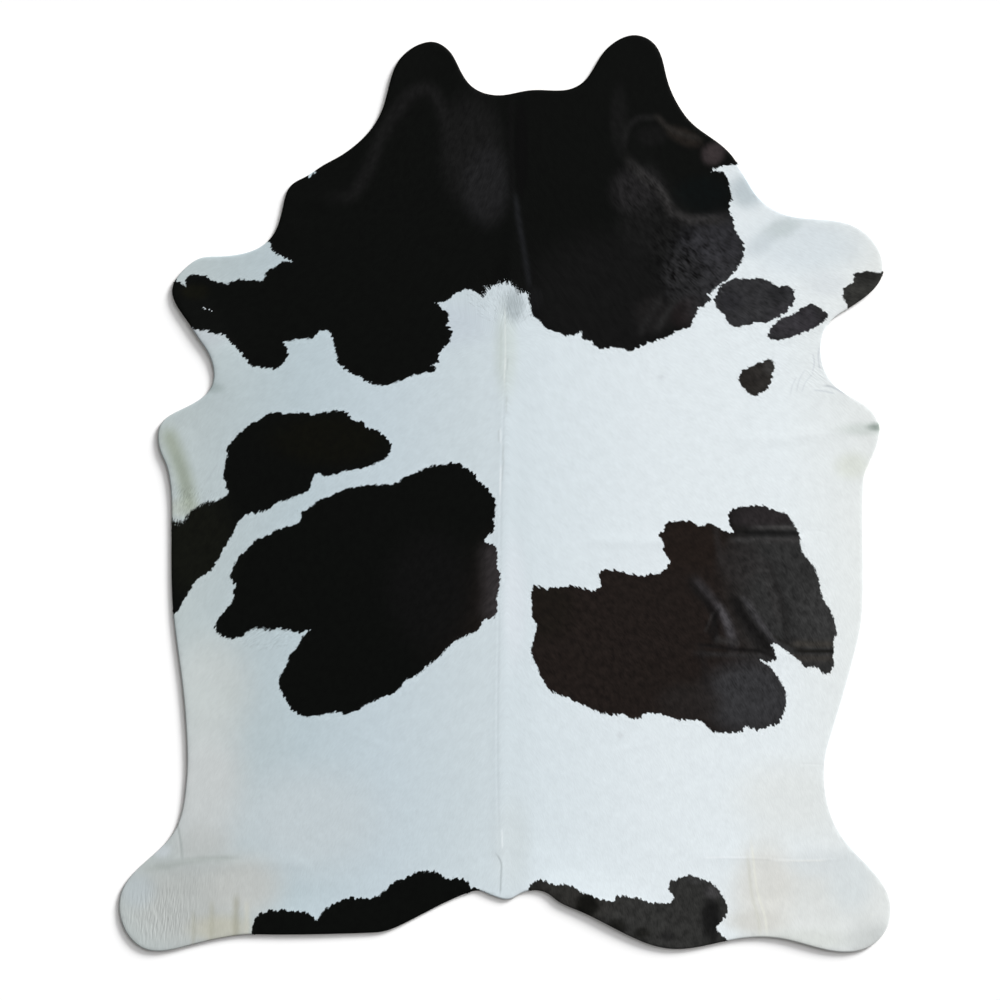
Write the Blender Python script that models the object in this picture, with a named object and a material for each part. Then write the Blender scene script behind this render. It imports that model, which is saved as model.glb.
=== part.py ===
"""Cowhide rug: one whole tanned hide with its short hair left on, lying flat, hair side up.

The neck points to +Y and the hind legs to -Y. Units are metres, the floor is z = 0,
and the origin is on the floor under the middle of the hide.
"""

import bmesh
import bpy
import numpy as np
from mathutils.geometry import delaunay_2d_cdt

MM = 0.001

# Driving dimensions
HIDE_WIDTH = 1.852  # across the hind legs
HIDE_LENGTH = 2.199  # from the neck lobes to the hind legs
LEATHER = 2.2 * MM  # tanned skin
PILE = 2.6 * MM  # short hair lying flat on the skin
EDGE_ROUNDING = 4.0 * MM  # the hair thins out this far in from the cut edge
CURL_REACH = 140 * MM  # a lifted edge slopes down to the floor over this width
CURL_BLEND = 60 * MM  # how gently one edge lift passes into the next

# How finely the surface is divided
STEPS_PER_EDGE_ROW = 4  # straight pieces of edge between two rows of the outline
GRID_PITCH = 75 * MM
EDGE_CLEARANCE = 34 * MM  # loose surface points stay this far inside the edge
FOLD_PITCH = 60 * MM

# The cut edge, clockwise seen from the hair side, one table for each stretch.
# Columns, in mm: across (to the right of the middle), along (towards the neck),
# lift (how far the edge stands off the floor).
NECK_NOTCH = [
    (-13, 956, 1),
    (59, 968, 1),
    (138, 968, 1),
    (179, 983, 1),
]
RIGHT_NECK_LOBE = [
    (203, 1009, 1),
    (227, 1049, 2),
    (251, 1076, 2),
    (304, 1100, 2),
    (359, 1075, 1),
    (382, 1012, 1),
    (395, 969, 0),
    (417, 926, 0),
    (443, 892, 0),
    (479, 863, 0),
]
RIGHT_FORE_LEG = [
    (539, 814, 1),
    (585, 739, 1),
    (613, 704, 1),
    (649, 680, 1),
    (700, 664, 2),
    (810, 652, 2),
    (880, 608, 3),
    (905, 541, 3),
    (875, 484, 4),
    (808, 437, 3),
    (779, 415, 2),
    (761, 383, 1),
]
RIGHT_FLANK = [
    (761, 311, 0),
    (803, 250, 1),
    (875, 202, 2),
    (895, 138, 4),
    (867, 64, 1),
    (858, 18, 0),
    (858, -196, 0),
    (855, -292, 0),
    (844, -356, 1),
    (801, -512, 1),
    (779, -584, 0),
    (767, -635, 0),
]
RIGHT_HIND_LEG = [
    (769, -724, 1),
    (805, -818, 1),
    (870, -892, 1),
    (918, -961, 2),
    (917, -1033, 3),
    (863, -1090, 4),
    (769, -1094, 6),
    (661, -1067, 6),
    (551, -1068, 4),
    (438, -1090, 4),
    (335, -1077, 6),
    (191, -1007, 8),
]
TAIL_STUB = [
    (126, -978, 7),
    (95, -956, 5),
    (47, -953, 3),
    (18, -968, 3),
    (-6, -972, 3),
    (-51, -956, 3),
    (-73, -952, 2),
]
LEFT_HIND_LEG = [
    (-164, -989, 2),
    (-275, -1044, 3),
    (-335, -1053, 4),
    (-553, -1057, 5),
    (-637, -1058, 4),
    (-752, -1081, 4),
    (-853, -1095, 5),
    (-912, -1048, 5),
    (-923, -959, 3),
    (-865, -883, 1),
    (-793, -806, 2),
]
LEFT_FLANK = [
    (-768, -707, 4),
    (-764, -628, 5),
    (-776, -455, 5),
    (-799, -263, 4),
    (-801, -52, 4),
    (-804, 20, 5),
    (-815, 71, 6),
    (-830, 107, 6),
    (-827, 167, 3),
    (-764, 209, 1),
]
LEFT_FORE_LEG = [
    (-705, 259, 2),
    (-709, 328, 6),
    (-735, 370, 8),
    (-764, 414, 8),
    (-800, 487, 6),
    (-762, 547, 2),
    (-726, 567, 1),
    (-680, 570, 1),
    (-596, 588, 1),
    (-547, 643, 3),
    (-526, 722, 4),
    (-506, 747, 2),
    (-474, 764, 1),
    (-440, 787, 0),
]
LEFT_NECK_LOBE = [
    (-395, 812, 0),
    (-323, 875, 1),
    (-287, 952, 4),
    (-254, 1043, 4),
    (-183, 1084, 2),
    (-147, 1072, 1),
    (-124, 1045, 1),
    (-85, 980, 1),
]
OUTLINE = (
    NECK_NOTCH
    + RIGHT_NECK_LOBE
    + RIGHT_FORE_LEG
    + RIGHT_FLANK
    + RIGHT_HIND_LEG
    + TAIL_STUB
    + LEFT_HIND_LEG
    + LEFT_FLANK
    + LEFT_FORE_LEG
    + LEFT_NECK_LOBE
)

# Soft folds of the skin. Columns: name, height and half width in mm,
# and the line of the crest as (across, along) points in mm.
FOLDS = [
    ("spine", 1.0, 26, [(24, 915), (18, 640), (2, 420), (0, 60), (-8, -300), (-13, -930)]),
    ("right neck", 1.8, 34, [(318, 800), (378, 720), (438, 640), (498, 530)]),
    ("left neck", 1.2, 30, [(-470, 700), (-380, 716), (-312, 800)]),
    ("shoulder", 0.8, 20, [(855, 152), (760, 146), (640, 134)]),
    ("loin", 0.8, 18, [(230, -112), (470, -118), (700, -112)]),
    ("rump", 0.7, 18, [(80, -392), (440, -384), (780, -390)]),
    ("left hock", 0.8, 20, [(-830, -884), (-660, -890), (-500, -886)]),
    ("right hock", 0.7, 20, [(470, -870), (640, -874), (820, -866)]),
]

# Hair colour seen from a step away: a cool off-white, and it scatters light softly.
HAIR_COLOUR = (0.62, 0.65, 0.67, 1.0)
HAIR_ROUGHNESS = 0.7


def clear_scene():
    for obj in list(bpy.data.objects):
        bpy.data.objects.remove(obj, do_unlink=True)


def closed_curve(rows, steps):
    """A smooth closed curve through the rows, with `steps` points from each row to the next."""
    rows = np.array(rows, float)
    count = len(rows)
    ahead = np.roll(rows, -1, axis=0)
    # Centripetal spacing keeps the curve from looping where rows are close together.
    gap = np.linalg.norm((ahead - rows)[:, :2], axis=1) ** 0.5
    matrix = np.zeros((count, count))
    wanted = np.zeros_like(rows)
    for i in range(count):
        before, after = gap[i - 1], gap[i]
        matrix[i, i - 1] = 1 / before
        matrix[i, i] = 2 * (1 / before + 1 / after)
        matrix[i, (i + 1) % count] = 1 / after
        rise_before = (rows[i] - rows[i - 1]) / before**2
        rise_after = (ahead[i] - rows[i]) / after**2
        wanted[i] = 3 * (rise_before + rise_after)
    slope = np.linalg.solve(matrix, wanted)
    slope_ahead = np.roll(slope, -1, axis=0)
    points = []
    for i in range(count):
        for t in np.arange(steps) / steps:
            leaving = (2 * t**3 - 3 * t**2 + 1) * rows[i] + (t**3 - 2 * t**2 + t) * gap[i] * slope[i]
            arriving = (3 * t**2 - 2 * t**3) * ahead[i] + (t**3 - t**2) * gap[i] * slope_ahead[i]
            points.append(leaving + arriving)
    return np.array(points)


def fit_to_size(edge):
    """Centres the edge and stretches it to the hide's width and length."""
    low, high = edge[:, :2].min(axis=0), edge[:, :2].max(axis=0)
    edge = edge.copy()
    edge[:, :2] = (edge[:, :2] - (low + high) / 2) * (np.array([HIDE_WIDTH, HIDE_LENGTH]) / (high - low))
    return edge


def inset(loop, distance):
    """The clockwise loop moved inwards by the distance."""
    along = np.roll(loop, -1, axis=0) - np.roll(loop, 1, axis=0)
    along /= np.linalg.norm(along, axis=1)[:, None]
    inwards = np.column_stack([along[:, 1], -along[:, 0]])
    return loop + inwards * distance


def is_inside(points, loop):
    """True for each point that the loop encloses, by counting crossings of a ray to the right."""
    ahead = np.roll(loop, -1, axis=0)
    rise = ahead[:, 1] - loop[:, 1]
    inside = np.zeros(len(points), bool)
    for i in np.flatnonzero(rise != 0):
        level = (loop[i, 1] > points[:, 1]) != (ahead[i, 1] > points[:, 1])
        crossing = loop[i, 0] + (points[:, 1] - loop[i, 1]) * (ahead[i, 0] - loop[i, 0]) / rise[i]
        inside ^= level & (points[:, 0] < crossing)
    return inside


def distance_to_path(points, path):
    """The shortest distance from each point to an open path of straight runs."""
    best = np.full(len(points), np.inf)
    for start, end in zip(path[:-1], path[1:]):
        run = end - start
        share = np.clip((points - start) @ run / (run @ run), 0, 1)
        best = np.minimum(best, np.linalg.norm(points - start - share[:, None] * run, axis=1))
    return best


def fold_path(crest):
    """The crest line of a fold, in metres, with a point about every FOLD_PITCH."""
    crest = np.array(crest, float) * MM
    length = np.concatenate([[0], np.cumsum(np.linalg.norm(np.diff(crest, axis=0), axis=1))])
    stations = np.linspace(0, length[-1], int(length[-1] / FOLD_PITCH) + 1)
    return np.column_stack([np.interp(stations, length, crest[:, 0]), np.interp(stations, length, crest[:, 1])])


def surface_points(rim):
    """Loose points of the surface: rows along each fold, and a staggered grid between them."""
    rows = []
    for _name, _height, half_width, crest in FOLDS:
        path = fold_path(crest)
        along = np.gradient(path, axis=0)
        across = np.column_stack([-along[:, 1], along[:, 0]]) / np.linalg.norm(along, axis=1)[:, None]
        for side in (-1, -0.5, 0, 0.5, 1):
            rows.append(path + across * side * half_width * MM)
    rows = np.concatenate(rows)

    grid = []
    for number, y in enumerate(np.arange(-HIDE_LENGTH / 2, HIDE_LENGTH / 2, GRID_PITCH * 0.87)):
        shift = GRID_PITCH / 2 * (number % 2)
        grid += [(x + shift, y) for x in np.arange(-HIDE_WIDTH / 2, HIDE_WIDTH / 2, GRID_PITCH)]
    grid = np.array(grid)
    nearest_row = np.min(np.linalg.norm(grid[:, None] - rows[None], axis=2), axis=1)
    grid = grid[nearest_row > GRID_PITCH * 0.5]

    points = np.concatenate([rows, grid])
    to_rim = distance_to_path(points, np.vstack([rim, rim[:1]]))
    return points[is_inside(points, rim) & (to_rim > EDGE_CLEARANCE)]


def lift_of(points, edge):
    """Height of the underside: the lifted edge sloping down to the floor, plus the folds."""
    rim, rim_lift = edge[:, :2], edge[:, 2] * MM
    apart = np.linalg.norm(points[:, None] - rim[None], axis=2)
    nearest = apart.min(axis=1)
    weight = np.exp(-(apart**2 - nearest[:, None] ** 2) / (2 * CURL_BLEND**2))
    curl = (weight * rim_lift).sum(axis=1) / weight.sum(axis=1)
    height = curl * np.clip(1 - nearest / CURL_REACH, 0, 1) ** 2
    for _name, fold_height, half_width, crest in FOLDS:
        off = np.clip(distance_to_path(points, fold_path(crest)) / (half_width * MM), 0, 1)
        height += fold_height * MM * (0.5 + 0.5 * np.cos(np.pi * off))
    return height


def add_quads(mesh, lower, upper):
    """Joins two loops of vertices by a band of faces."""
    for i in range(len(lower)):
        j = (i + 1) % len(lower)
        mesh.faces.new((lower[i], upper[i], upper[j], lower[j]))


def build_hide():
    """The hide: an even sheet of skin and hair over the curled and folded underside."""
    edge = closed_curve(OUTLINE, STEPS_PER_EDGE_ROW)
    edge[:, 2] = np.clip(edge[:, 2], 0, None)
    edge[:, :2] *= MM
    edge = fit_to_size(edge)
    rim = edge[:, :2]
    hair_rim = inset(rim, EDGE_ROUNDING)

    flat = np.vstack([hair_rim, surface_points(rim)])
    ring = [(i, (i + 1) % len(rim)) for i in range(len(rim))]
    # Kind 1 keeps only the triangles inside the ring.
    flat, _, triangles, kept_as, _, _ = delaunay_2d_cdt(flat.tolist(), ring, [], 1, 1e-6)
    flat = np.array([tuple(point) for point in flat])
    place = {old: new for new, olds in enumerate(kept_as) for old in olds}
    rim_place = [place[i] for i in range(len(rim))]

    under_flat = flat.copy()
    under_flat[rim_place] = rim
    under_height = lift_of(under_flat, edge)
    top_height = under_height + LEATHER + PILE

    mesh = bmesh.new()
    top = [mesh.verts.new((x, y, z)) for (x, y), z in zip(flat, top_height)]
    under = [mesh.verts.new((x, y, z)) for (x, y), z in zip(under_flat, under_height)]
    skin_edge = [mesh.verts.new((*under_flat[i], under_height[i] + LEATHER)) for i in rim_place]
    for a, b, c in triangles:
        mesh.faces.new((top[a], top[b], top[c]))
        mesh.faces.new((under[c], under[b], under[a]))
    add_quads(mesh, [under[i] for i in rim_place], skin_edge)
    add_quads(mesh, skin_edge, [top[i] for i in rim_place])
    bmesh.ops.recalc_face_normals(mesh, faces=mesh.faces)

    data = bpy.data.meshes.new("hide")
    mesh.to_mesh(data)
    mesh.free()
    data.shade_smooth()
    data.set_sharp_from_angle(angle=np.radians(30))
    hide = bpy.data.objects.new("hide", data)
    bpy.context.scene.collection.objects.link(hide)
    return hide


def hair_material():
    material = bpy.data.materials.new("hair_on_hide")
    material.use_nodes = True
    shader = material.node_tree.nodes["Principled BSDF"]
    shader.inputs["Base Color"].default_value = HAIR_COLOUR
    shader.inputs["Roughness"].default_value = HAIR_ROUGHNESS
    shader.inputs["Metallic"].default_value = 0.0
    return material


clear_scene()
build_hide().data.materials.append(hair_material())
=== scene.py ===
"""Looks of a cowhide rug: one whole tanned hide with its short hair on, lying on a floor, hair side up.

Lengths are in metres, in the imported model's frame: +Z up and +Y along the spine towards the neck.
Places on the hide are given in pixels of the photograph, counted from its top left corner."""

import math

import bpy
import numpy as np
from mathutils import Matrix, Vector
from mathutils.bvhtree import BVHTree
from mathutils.geometry import delaunay_2d_cdt
from mathutils.kdtree import KDTree


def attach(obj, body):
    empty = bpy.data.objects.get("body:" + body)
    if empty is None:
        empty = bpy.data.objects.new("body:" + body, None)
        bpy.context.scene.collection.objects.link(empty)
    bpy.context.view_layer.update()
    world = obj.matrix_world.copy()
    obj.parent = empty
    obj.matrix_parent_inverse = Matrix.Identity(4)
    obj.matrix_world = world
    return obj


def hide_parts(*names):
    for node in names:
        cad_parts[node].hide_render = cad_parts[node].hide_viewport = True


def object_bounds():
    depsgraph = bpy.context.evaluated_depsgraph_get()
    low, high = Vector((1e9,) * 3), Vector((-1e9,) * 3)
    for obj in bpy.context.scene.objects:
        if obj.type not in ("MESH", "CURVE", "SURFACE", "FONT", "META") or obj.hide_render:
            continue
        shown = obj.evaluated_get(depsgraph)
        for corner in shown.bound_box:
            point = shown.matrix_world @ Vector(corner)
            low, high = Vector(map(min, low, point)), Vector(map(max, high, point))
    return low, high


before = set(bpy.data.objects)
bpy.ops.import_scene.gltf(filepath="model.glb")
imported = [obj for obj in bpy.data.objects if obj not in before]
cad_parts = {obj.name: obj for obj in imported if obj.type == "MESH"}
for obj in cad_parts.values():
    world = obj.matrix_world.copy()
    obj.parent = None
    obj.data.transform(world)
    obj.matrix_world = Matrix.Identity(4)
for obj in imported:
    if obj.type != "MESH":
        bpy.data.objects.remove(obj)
cad_low, cad_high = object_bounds()

# ---------------------------------------------------------------------------------------- skin
# The skin of one whole cow, tanned soft, shaved to an even thickness and cut by hand round the
# animal's outline. It lies by its own weight, flat but for a few long waves, and its cut edge
# lifts a few millimetres off the floor in places.

MM = 0.001
SKIN = 2.2 * MM  # thickness of the leather
SKIN_STEP = 22 * MM  # between the points of the skin's mesh
CUT_STEP = 5 * MM  # between the points of its cut edge
MAP_MARGIN = 30 * MM  # that a map of the hide reaches past its box
LIE_STEP = 5 * MM  # between the values of the map of how the hide lies
LIE_SMOOTHINGS = 4  # times that they are evened out
CURVE_PARTS = 8  # straight parts between two knots of a curve
LOOKS_UP = 0.05  # a face looks up where its normal rises by more than this
SAME_PLACE = 0.1e-6  # places closer than this are one
PLACE_DIGITS = 6  # decimals of a metre that tell two places apart
TINY = 1e-9  # taken for a length of nothing where it divides
SHARP_ANGLE = 35  # degrees between two faces from which the edge between them shows


class HideMap:
    """A number at each step of a square grid over the hide, read smoothly at any place."""

    def __init__(self, step):
        self.step = step
        self.corner = np.array(cad_low[:2]) - MAP_MARGIN
        count = np.ceil((np.array(cad_high[:2]) + MAP_MARGIN - self.corner) / step).astype(int) + 1
        steps = [self.corner[axis] + step * np.arange(count[axis]) for axis in (0, 1)]
        self.x, self.y = np.meshgrid(*steps)
        self.values = np.zeros(self.x.shape)

    def places(self):
        return np.column_stack([self.x.ravel(), self.y.ravel()])

    def at(self, places):
        """The value at loose places, between the four nearest steps."""
        spot = (places - self.corner) / self.step
        cell = np.clip(spot.astype(int), 0, np.array(self.values.shape[::-1]) - 2)
        u, v = np.clip(spot - cell, 0, 1).T
        column, row = cell.T
        near = self.values[row, column] * (1 - u) + self.values[row, column + 1] * u
        far = self.values[row + 1, column] * (1 - u) + self.values[row + 1, column + 1] * u
        return near * (1 - v) + far * v

    def smooth(self, times):
        """Evens out the values with their neighbours."""
        for _ in range(times):
            wide = np.pad(self.values, 1, mode="edge")
            along = (wide[:-2] + 2 * wide[1:-1] + wide[2:]) / 4
            self.values = (along[:, :-2] + 2 * along[:, 1:-1] + along[:, 2:]) / 4

    def spread(self):
        """Carries the known values out over the unknown ones, which are NaN."""
        while np.isnan(self.values).any():
            wide = np.pad(self.values, 1, constant_values=np.nan)
            beside = np.stack([wide[:-2, 1:-1], wide[2:, 1:-1], wide[1:-1, :-2], wide[1:-1, 2:]])
            known = ~np.isnan(beside)
            total = np.where(known, beside, 0).sum(axis=0)
            fresh = np.isnan(self.values) & known.any(axis=0)
            self.values[fresh] = total[fresh] / known.sum(axis=0)[fresh]


def solid_of(node):
    """Points and triangles of a solid of the frame, with the points that its triangles share joined."""
    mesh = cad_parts[node].data
    mesh.calc_loop_triangles()
    points = np.empty(3 * len(mesh.vertices))
    mesh.vertices.foreach_get("co", points)
    corners = np.empty(3 * len(mesh.loop_triangles), np.int32)
    mesh.loop_triangles.foreach_get("vertices", corners)
    points = points.reshape(-1, 3)
    _, first, joined = np.unique(points.round(PLACE_DIGITS), axis=0, return_index=True, return_inverse=True)
    return points[first], joined.reshape(-1)[corners].reshape(-1, 3)


def cut_line(points, triangles):
    """The outline seen from above, anticlockwise: where the faces that look up end."""
    a, b, c = (points[triangles[:, corner]] for corner in range(3))
    normal = np.cross(b - a, c - a)
    upward = triangles[normal[:, 2] > LOOKS_UP * np.linalg.norm(normal, axis=1)]
    edges = np.concatenate([upward[:, [0, 1]], upward[:, [1, 2]], upward[:, [2, 0]]]).tolist()
    known = set(map(tuple, edges))
    following = {start: end for start, end in edges if (end, start) not in known}
    loop = [min(following)]
    while len(loop) < len(following):
        loop.append(following[loop[-1]])
    return points[loop, :2]


def smooth_path(knots, step, closed=True):
    """Points about a step apart on a smooth curve through the knots."""
    knots = np.asarray(knots, float)
    if not closed:
        knots = np.vstack([2 * knots[0] - knots[1], knots, 2 * knots[-1] - knots[-2]])
    before, start, end, after = (np.roll(knots, -shift, axis=0) for shift in range(4))
    # Centripetal spacing keeps the curve from looping where knots are close together.
    pairs = ((before, start), (start, end), (end, after))
    gap_in, gap, gap_out = (np.linalg.norm(q - p, axis=1)[:, None] ** 0.5 for p, q in pairs)
    leaving = (start - before) / gap_in - (end - before) / (gap_in + gap) + (end - start) / gap
    arriving = (end - start) / gap - (after - start) / (gap + gap_out) + (after - end) / gap_out
    t = (np.arange(CURVE_PARTS) / CURVE_PARTS)[None, :, None]
    dense = (2 * t**3 - 3 * t**2 + 1) * start[:, None] + (3 * t**2 - 2 * t**3) * end[:, None]
    dense += (t**3 - 2 * t**2 + t) * (leaving * gap)[:, None] + (t**3 - t**2) * (arriving * gap)[:, None]
    runs = len(knots) if closed else len(knots) - 3
    last = start[:1] if closed else end[runs - 1 : runs]
    dense = np.vstack([dense[:runs].reshape(-1, 2), last])
    length = np.concatenate([[0], np.cumsum(np.linalg.norm(np.diff(dense, axis=0), axis=1))])
    count = max(2, round(length[-1] / step))
    stations = np.linspace(0, length[-1], count, endpoint=not closed)
    return np.column_stack([np.interp(stations, length, dense[:, axis]) for axis in (0, 1)])


def inside(places, loop):
    """True for each place that the closed loop goes round."""
    ahead = np.roll(loop, -1, axis=0)
    within = np.zeros(len(places), bool)
    for (x, y), (next_x, next_y) in zip(loop, ahead):
        if y == next_y:
            continue
        level = (y > places[:, 1]) != (next_y > places[:, 1])
        within ^= level & (places[:, 0] < x + (places[:, 1] - y) * (next_x - x) / (next_y - y))
    return within


def nearest(places, path):
    """How far each place is from the points of a path, and the number of the nearest one."""
    tree = KDTree(len(path))
    for number, (x, y) in enumerate(path):
        tree.insert((x, y, 0), number)
    tree.balance()
    found = [tree.find((x, y, 0)) for x, y in places]
    return np.array([hit[2] for hit in found], float), np.array([hit[1] for hit in found], int)


def gap_to(places, path, closed=True):
    """How far each place is from the line of a path, and the number of the path's nearest point."""
    _, number = nearest(places, path)
    best = np.full(len(places), np.inf)
    for shift in (-1, 1):
        other = number + shift
        other = other % len(path) if closed else np.clip(other, 0, len(path) - 1)
        run = path[other] - path[number]
        reach = np.maximum((run**2).sum(axis=1), TINY**2)
        share = np.clip(((places - path[number]) * run).sum(axis=1) / reach, 0, 1)
        best = np.minimum(best, np.linalg.norm(places - path[number] - share[:, None] * run, axis=1))
    return best, number


def staggered(step):
    """Places all over the hide's box, in rows that are set off by half a step in turn."""
    rows = np.arange(cad_low.y, cad_high.y, step * math.sin(math.radians(60)))
    columns = np.arange(cad_low.x, cad_high.x, step)
    return np.vstack([np.column_stack([columns + step / 2 * (i % 2), np.full(len(columns), y)])
                      for i, y in enumerate(rows)])


def filled(ring, inner):
    """Triangles that fill the ring through the inner places, numbered ring first."""
    places = np.vstack([ring, inner])
    edges = [(i, (i + 1) % len(ring)) for i in range(len(ring))]
    # Kind 1 keeps only the triangles inside the ring.
    _, _, triangles, origins, _, _ = delaunay_2d_cdt(places.tolist(), edges, [], 1, SAME_PLACE)
    given = np.array([numbers[0] for numbers in origins])
    return given[np.array(triangles)]


def band(lower, upper):
    """Triangles between two rings of points, given by their numbers, with the outside on the right."""
    next_lower, next_upper = np.roll(lower, -1), np.roll(upper, -1)
    return np.vstack([np.column_stack([lower, next_lower, next_upper]),
                      np.column_stack([lower, next_upper, upper])])


def add_piece(name, points, triangles, material):
    """A smooth mesh of the rug that rides on the frame's one body."""
    mesh = bpy.data.meshes.new(name)
    mesh.vertices.add(len(points))
    mesh.vertices.foreach_set("co", np.asarray(points, np.float32).ravel())
    mesh.loops.add(3 * len(triangles))
    mesh.loops.foreach_set("vertex_index", np.asarray(triangles, np.int32).ravel())
    mesh.polygons.add(len(triangles))
    mesh.polygons.foreach_set("loop_start", 3 * np.arange(len(triangles), dtype=np.int32))
    mesh.update(calc_edges=True)
    mesh.validate()
    mesh.shade_smooth()
    mesh.materials.append(material)
    piece = bpy.data.objects.new(name, mesh)
    bpy.context.scene.collection.objects.link(piece)
    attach(piece, "root")
    return piece


def linear(colour):
    """Linear red, green, blue and alpha of an sRGB hex value."""
    coded = np.array([int(colour[i : i + 2], 16) for i in (1, 3, 5)]) / 255
    light = np.where(coded <= 0.04045, coded / 12.92, ((coded + 0.055) / 1.055) ** 2.4)
    return (*light.tolist(), 1.0)


def add_node(tree, kind, settings=None, links=None):
    """Adds a node: settings go to its properties or sockets, and links join its sockets to outputs."""
    node = tree.nodes.new(kind)
    for name, value in (settings or {}).items():
        if isinstance(name, str) and hasattr(node, name):
            setattr(node, name, value)
        else:
            node.inputs[name].default_value = value
    for name, output in (links or {}).items():
        tree.links.new(output, node.inputs[name])
    return node


# Chrome-tanned suede: the flesh side is buffed to a short nap, so it looks matt, pale and a
# little cloudy.
NAP = 1.4 * MM  # the real one is 0.3 mm long and too fine to show, so it is drawn coarser
NAP_DEPTH = 0.2 * MM
NAP_TINT = 0.35  # how much it counts in the colour, next to the clouds
SUEDE_CLOUD = 70 * MM
SUEDE_RANGE = (0.5, 0.85)  # of the two patterns' sum, from the darker shade to the paler one
SUEDE_SHADES = ("#b3aa9b", "#cbc3b5")

suede = bpy.data.materials.new("buffed_suede")
suede.use_nodes = True
tree = suede.node_tree
surface = tree.nodes["Principled BSDF"]
surface.inputs["Roughness"].default_value = 0.92
surface.inputs["Specular IOR Level"].default_value = 0.2
surface.inputs["Sheen Weight"].default_value = 0.15
place = add_node(tree, "ShaderNodeTexCoord").outputs["Object"]
nap = add_node(tree, "ShaderNodeTexNoise", {"Scale": 1 / NAP, "Detail": 3}, {"Vector": place})
cloud = add_node(tree, "ShaderNodeTexNoise", {"Scale": 1 / SUEDE_CLOUD, "Detail": 2}, {"Vector": place})
blend = add_node(tree, "ShaderNodeMath", {"operation": "MULTIPLY_ADD", 1: NAP_TINT},
                 {0: nap.outputs["Fac"], 2: cloud.outputs["Fac"]})
tint = add_node(tree, "ShaderNodeMapRange", {"From Min": SUEDE_RANGE[0], "From Max": SUEDE_RANGE[1]},
                {"Value": blend.outputs["Value"]})
dark, pale = (linear(shade) for shade in SUEDE_SHADES)
colour = add_node(tree, "ShaderNodeMix", {"data_type": "RGBA", 6: dark, 7: pale},
                  {0: tint.outputs["Result"]})
relief = add_node(tree, "ShaderNodeBump", {"Strength": 0.6, "Distance": NAP_DEPTH},
                  {"Height": nap.outputs["Fac"]})
tree.links.new(colour.outputs[2], surface.inputs["Base Color"])
tree.links.new(relief.outputs["Normal"], surface.inputs["Normal"])

solid_points, solid_triangles = solid_of("hide")
cut_edge = smooth_path(cut_line(solid_points, solid_triangles), CUT_STEP)
solid = BVHTree.FromPolygons(solid_points.tolist(), solid_triangles.tolist())

# How high the underside lies over the floor.
lie = HideMap(LIE_STEP)
hits = [solid.ray_cast((x, y, -1), (0, 0, 1))[0] for x, y in lie.places()]
lie.values[:] = np.array([np.nan if hit is None else hit.z for hit in hits]).reshape(lie.x.shape)
lie.spread()
lie.smooth(LIE_SMOOTHINGS)

# How far in from the cut edge a place is, and less than nothing outside it.
from_cut = HideMap(LIE_STEP)
gap, _ = gap_to(from_cut.places(), cut_edge)
gap[~inside(from_cut.places(), cut_edge)] *= -1
from_cut.values[:] = gap.reshape(from_cut.x.shape)

inner = staggered(SKIN_STEP)
# Points nearer to the cut edge would make slivers.
inner = inner[from_cut.at(inner) > SKIN_STEP / 2]
flat = np.vstack([cut_edge, inner])
faces = filled(cut_edge, inner)
under = np.column_stack([flat, lie.at(flat)])
over = under + (0, 0, SKIN)
rim = np.arange(len(cut_edge))
skin = add_piece(
    "tanned_skin",
    np.vstack([under, over]),
    np.vstack([faces[:, ::-1], faces + len(flat), band(rim, rim + len(flat))]),
    suede,
)
skin.data.set_sharp_from_angle(angle=math.radians(SHARP_ANGLE))
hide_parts("hide")

# ---------------------------------------------------------------------------------------- coat
# The hair, left on the skin: a dense coat of hairs about 16 mm long that lie flat and overlap,
# 2.6 mm deep. It grows out from the spine and towards the tail, white with ten black patches,
# and rolls over at the cut edge. Small creases from storing and wearing run through it.

HAIR = 2.6 * MM  # depth of the lying coat
HAIR_ROLL = 3.6 * MM  # width over which it rolls down at the cut edge
ROLL_RINGS = (0.0, 0.12, 0.4, 1.0)  # shares of that width
COAT_STEP = 8 * MM  # between the points of its mesh
FINE_BAND = 9 * MM  # the mesh is twice as fine this near a patch's border or a line
NARROW = 9 * MM  # it is twice as fine again along lines and creases of less than this half width
TOP_STEP = 1.25 * MM  # between the values of the map of the coat's height
BORDER_STEP = 2 * MM  # between the points of a patch's border, a crease or a line
BORDER_EVENING = 5  # points either way over which a border's direction is evened out
FLOW_STEP = 10 * MM  # between the values of the maps of the hair's direction
FLOW_REACH = 80  # pixels over which one reading of the hair's direction counts
TEXTURE_MAP = "OFBake"  # the name given to the pieces' flat texture map
RUG_WIDTH_PX = 771.7  # of the rug's box in the photograph
MIDDLE_PX = (505.4, 493.5)  # the middle of that box
PIXEL = (cad_high.x - cad_low.x) / RUG_WIDTH_PX
STUDIO_LIGHT = 1.09  # light on the rug, as the share of a white surface's full brightness

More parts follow.
